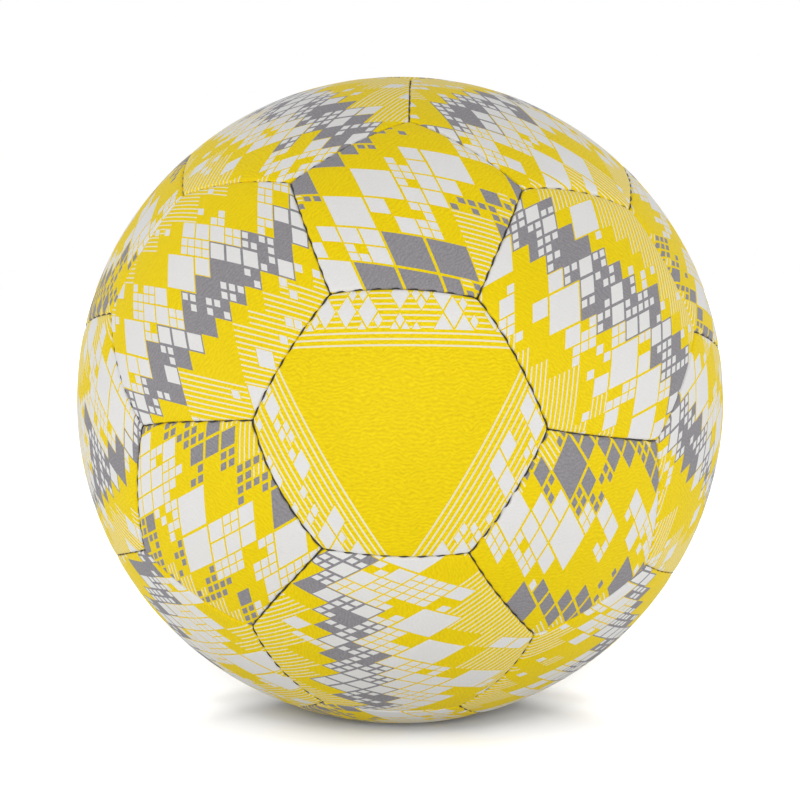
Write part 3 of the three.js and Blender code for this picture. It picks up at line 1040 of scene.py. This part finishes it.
def seam_thread(name, pentagon):
    maker = MeshMaker()
    axis = pentagon.middle
    for side, seam in enumerate(pentagon.seams):
        start = pentagon.corners[side]
        path = thread_path(seam, start, pentagon.walls[side], seam.angle, STITCHES_PER_SEAM, 1)
        twisted_tube(maker, wander(path))
    for far in neighbours(axis):
        start, end = seam_corner(axis, far), seam_corner(far, axis)
        seam = seam_between(start, end)
        wall = unit(np.cross(start, end))
        pit_side = 1 if wall @ HEAVY_SIDE > 0 else -1
        path = thread_path(seam, start, wall, seam.angle / 2, STITCHES_PER_SEAM // 2, pit_side)
        twisted_tube(maker, wander(path))
    piece = maker.build(name + "_stitches", [THREAD], smooth_angle=math.pi)
    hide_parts(name)
    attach(piece, "root")


# Turned rubber pieces of the valve

def turned_section(name):
    """The corners of a turned piece's section, as radius and height along the valve's axis, in order."""
    mesh = frame["nodes"][name].data
    corners = [(round(math.hypot(v.co.x, v.co.z), 6), round(v.co.y, 6)) for v in mesh.vertices]
    angles = [math.atan2(v.co.z, v.co.x) for v in mesh.vertices]
    on_plane = [abs(angle - angles[0]) < 0.01 for angle in angles]
    beside = {}
    for edge in mesh.edges:
        a, b = edge.vertices
        if on_plane[a] and on_plane[b] and corners[a] != corners[b]:
            beside.setdefault(corners[a], set()).add(corners[b])
            beside.setdefault(corners[b], set()).add(corners[a])
    path = [min(beside)]
    while True:
        following = [corner for corner in beside[path[-1]] if corner not in path]
        if not following:
            return np.array(path)
        path.append(min(following))


def rounded_section(section):
    """A closed section with every corner rounded as far as its sides allow."""
    rounded = []
    for before, corner, after in zip(np.roll(section, 1, axis=0), section, np.roll(section, -1, axis=0)):
        shorter = min(np.linalg.norm(before - corner), np.linalg.norm(after - corner))
        reach = min(TURNED_ROUNDING, 0.4 * shorter)
        start = corner + unit(before - corner) * reach
        end = corner + unit(after - corner) * reach
        for share in np.linspace(0, 1, CORNER_POINTS):
            rounded.append(start * (1 - share) ** 2 + corner * 2 * share * (1 - share) + end * share ** 2)
    return np.array(rounded)


def turned_piece(name, material):
    section = rounded_section(turned_section(name))
    following = np.roll(section, -1, axis=0)
    area = np.sum(section[:, 0] * following[:, 1] - following[:, 0] * section[:, 1]) / 2
    if area > 0:
        section = section[::-1]
    angles = np.arange(TURNED_STEPS) / TURNED_STEPS * 2 * math.pi
    maker = MeshMaker()
    rings = [maker.ring(np.column_stack([
        radius * np.cos(angles), np.full(TURNED_STEPS, height), radius * np.sin(angles)]))
        for radius, height in section]
    for ring, next_ring in zip(rings, rings[1:] + rings[:1]):
        maker.band(ring, next_ring)
    piece = maker.build(name + "_turned", [material])
    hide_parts(name)
    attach(piece, "root")


# Pieces

for number, panel in enumerate(sorted(PANELS, key=lambda panel: panel.name)):
    cover_panel(panel, number)

for name in nodes_called("seam_thread"):
    centre = unit(node_points(name).mean(axis=0))
    pentagon = max((panel for panel in PANELS if panel.sides == 5), key=lambda panel: panel.middle @ centre)
    seam_thread(name, pentagon)

turned_piece("valve_body", VALVE_RUBBER)
turned_piece("valve_core", CORE_RUBBER)
turned_piece("valve_patch", PATCH_RUBBER)

bladder = frame["nodes"]["bladder"].data
bladder.materials.clear()
bladder.materials.append(BLADDER_RUBBER)


# Stage

def is_ray(tree, *kinds):
    """1 for rays of the given kinds, else 0."""
    ray = tree.nodes.new("ShaderNodeLightPath")
    found = ray.outputs[kinds[0]]
    for kind in kinds[1:]:
        either = tree.nodes.new("ShaderNodeMath")
        either.operation = "MAXIMUM"
        tree.links.new(found, either.inputs[0])
        tree.links.new(ray.outputs[kind], either.inputs[1])
        found = either.outputs[0]
    return found


def add_floor():
    """A pale floor that shows white to the camera and keeps the ball's shadow."""
    s = Shader("pale_floor")
    material = s.finish(Base_Color=(FLOOR_ALBEDO, FLOOR_ALBEDO, FLOOR_ALBEDO, 1.0), Roughness=0.9)
    seen = s.node("ShaderNodeBsdfDiffuse", {"Color": (FLOOR_SEEN, FLOOR_SEEN, FLOOR_SEEN, 1.0)})
    looks = is_ray(s.tree, "Is Camera Ray"), s.surface.outputs[0], seen.outputs[0]
    look = s.node("ShaderNodeMixShader", looks)
    s.feed(s.tree.nodes["Material Output"].inputs["Surface"], look.outputs[0])

    mesh = bpy.data.meshes.new("floor")
    corners = [(-1, -1), (1, -1), (1, 1), (-1, 1)]
    level = -BALL_RADIUS - 0.2 * MM
    mesh.from_pydata([(x * FLOOR_REACH, y * FLOOR_REACH, level) for x, y in corners], [], [(0, 1, 2, 3)])
    mesh.materials.append(material)
    floor = add_object("floor", mesh)


def add_world():
    world = bpy.data.worlds.new("studio")
    bpy.context.scene.world = world
    world.use_nodes = True
    tree = world.node_tree
    level = tree.nodes.new("ShaderNodeMix")
    level.inputs[2].default_value = WORLD_LEVEL
    level.inputs[3].default_value = 1.0
    tree.links.new(is_ray(tree, "Is Camera Ray", "Is Glossy Ray", "Is Transmission Ray"), level.inputs[0])
    background = tree.nodes["Background"]
    background.inputs["Color"].default_value = (1, 1, 1, 1)
    tree.links.new(level.outputs[0], background.inputs["Strength"])


def lamp_targets(name, floor):
    """The floor alone or the ball alone, for lamps that light only one of them."""
    targets = bpy.data.collections.new(name)
    for piece in bpy.context.scene.objects:
        if piece.type == "MESH" and (piece.name == "floor") == floor:
            targets.objects.link(piece)
    return targets


def add_floor_light():
    """Suns before and behind the ball, low over the floor, which give the shadow its wide, flat shape."""
    targets = lamp_targets("lit by the suns", floor=True)
    for azimuth, suns in ((0, FRONT_SUNS), (math.pi, BACK_SUNS)):
        for degrees, strength in suns.items():
            elevation = math.radians(degrees)
            light = bpy.data.lights.new(f"sun_{degrees}", "SUN")
            light.angle = SUN_WIDTH
            light.energy = math.pi * strength / math.sin(elevation)
            sun = add_object(light.name, light)
            sun.rotation_euler = (math.pi / 2 - elevation, 0, azimuth)
            sun.light_linking.receiver_collection = targets


def add_lamp(name, place, size, power, targets):
    light = bpy.data.lights.new(name, "AREA")
    light.shape = "DISK"
    light.size = size
    light.energy = power
    lamp = add_object(name, light)
    lamp.location = place
    lamp.rotation_euler = (-Vector(place)).to_track_quat("-Z", "Y").to_euler()
    lamp.light_linking.receiver_collection = targets


def add_camera():
    distance = CAMERA_DISTANCE * BALL_RADIUS
    focal_pixels = BALL_OUTLINE_RADIUS * math.sqrt(CAMERA_DISTANCE ** 2 - 1)
    data = bpy.data.cameras.new("camera")
    data.sensor_width = SENSOR_WIDTH
    data.lens = focal_pixels * SENSOR_WIDTH / PHOTO_WIDTH
    camera = add_object("camera", data)
    camera.location = (0, -distance * math.cos(CAMERA_ELEVATION), distance * math.sin(CAMERA_ELEVATION))
    camera.rotation_euler = (math.pi / 2 - CAMERA_ELEVATION, 0, 0)
    bpy.context.scene.camera = camera


add_floor()
add_world()
add_floor_light()
lit = lamp_targets("lit by the lamps", floor=False)
for name, (place, size, power) in LAMPS.items():
    add_lamp(name, place, size, power, lit)
add_camera()
bpy.context.scene.view_settings.view_transform = "Standard"
